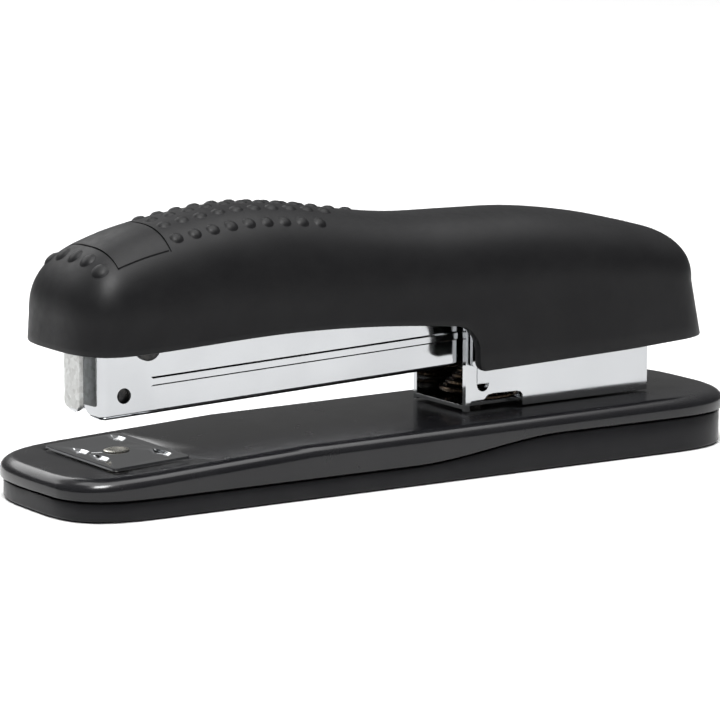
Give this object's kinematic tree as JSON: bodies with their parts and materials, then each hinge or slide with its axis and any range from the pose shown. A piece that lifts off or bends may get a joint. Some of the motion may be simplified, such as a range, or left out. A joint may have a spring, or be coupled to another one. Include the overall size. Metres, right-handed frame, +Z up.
{
  "type": "desk stapler",
  "caption": "Full-strip desk stapler: enamelled base with a turning anvil, bright sprung magazine, and a soft black handle that drives the staple.",
  "frame": {"origin": "on the table, under the middle of the base", "axes": "+Z up, X along the stapler with the staple nose at -X and the hinge at +X, Y across it"},
  "size_m": [0.1632, 0.043, 0.0573],
  "materials": {
    "gloss_black": "gloss black stove enamel on pressed steel",
    "satin_black": "satin black moulded plastic",
    "soft_black": "matte soft-touch charcoal black plastic",
    "chrome": "bright chrome on pressed steel",
    "galvanised": "dull galvanised sheet steel",
    "black_oxide": "blackened steel",
    "spring_steel": "dark oil-tempered spring wire",
    "zinc": "zinc-plated steel"
  },
  "bodies": {
    "base": {"base_shell": "gloss_black", "base_pad": "satin_black", "rear_bracket": "chrome", "bracket_rivet_1": "zinc", "bracket_rivet_2": "zinc", "bracket_rivet_3": "zinc", "hinge_pin": "zinc", "return_spring": "spring_steel", "anvil_spring": "spring_steel"},
    "anvil_lifter": {"anvil_collar": "zinc"},
    "anvil": {"anvil_plate": "chrome", "anvil_post": "zinc", "anvil_button": "zinc"},
    "magazine": {"magazine_channel": "chrome", "nose_guide": "galvanised", "nose_rivet_near": "zinc", "nose_rivet_far": "zinc", "nose_pin": "black_oxide", "staple_rail": "zinc", "rail_cross_pin": "zinc", "rod_holder_front": "zinc", "rod_holder_rear": "zinc", "pusher_rod": "zinc", "spring_bridge": "zinc", "pusher_spring": "spring_steel"},
    "pusher": {"staple_pusher": "black_oxide"},
    "handle": {"cover_shell": "soft_black", "cover_screw_1": "zinc", "cover_screw_2": "zinc", "handle_frame": "chrome", "driver_blade": "galvanised", "driver_rivet_1": "zinc", "driver_rivet_2": "zinc", "handle_spring": "spring_steel"}
  },
  "joints": [
    {"name": "anvil_lift", "type": "slide", "parent": "base", "child": "anvil_lifter", "axis": [-0.0489, 0, 0.9988], "range_m": [0, 0.0005], "stiffness_N_per_m": 800, "springref_m": -0.001, "deforming": ["anvil_spring"]},
    {"name": "anvil_turn", "type": "hinge", "parent": "anvil_lifter", "child": "anvil", "pos_m": [-0.0613, 0, 0.00912], "axis": [-0.0489, 0, 0.9988], "range_deg": [0, 180]},
    {"name": "magazine_pivot", "type": "hinge", "parent": "base", "child": "magazine", "pos_m": [0.057, 0, 0.029], "axis": [0, 1, 0], "range_deg": [-3, 10], "stiffness_Nm_per_rad": 2.5, "springref_deg": 1.72, "deforming": ["return_spring"]},
    {"name": "handle_pivot", "type": "hinge", "parent": "magazine", "child": "handle", "pos_m": [0.057, 0, 0.029], "axis": [0, 1, 0], "range_deg": [-3.38, 29], "stiffness_Nm_per_rad": 1.5, "springref_deg": 1.55, "deforming": ["handle_spring"]},
    {"name": "pusher_slide", "type": "slide", "parent": "magazine", "child": "pusher", "axis": [0.9992, 0, 0.039], "range_m": [0, 0.092], "stiffness_N_per_m": 30, "springref_m": -0.1, "deforming": ["pusher_spring"]}
  ]
}
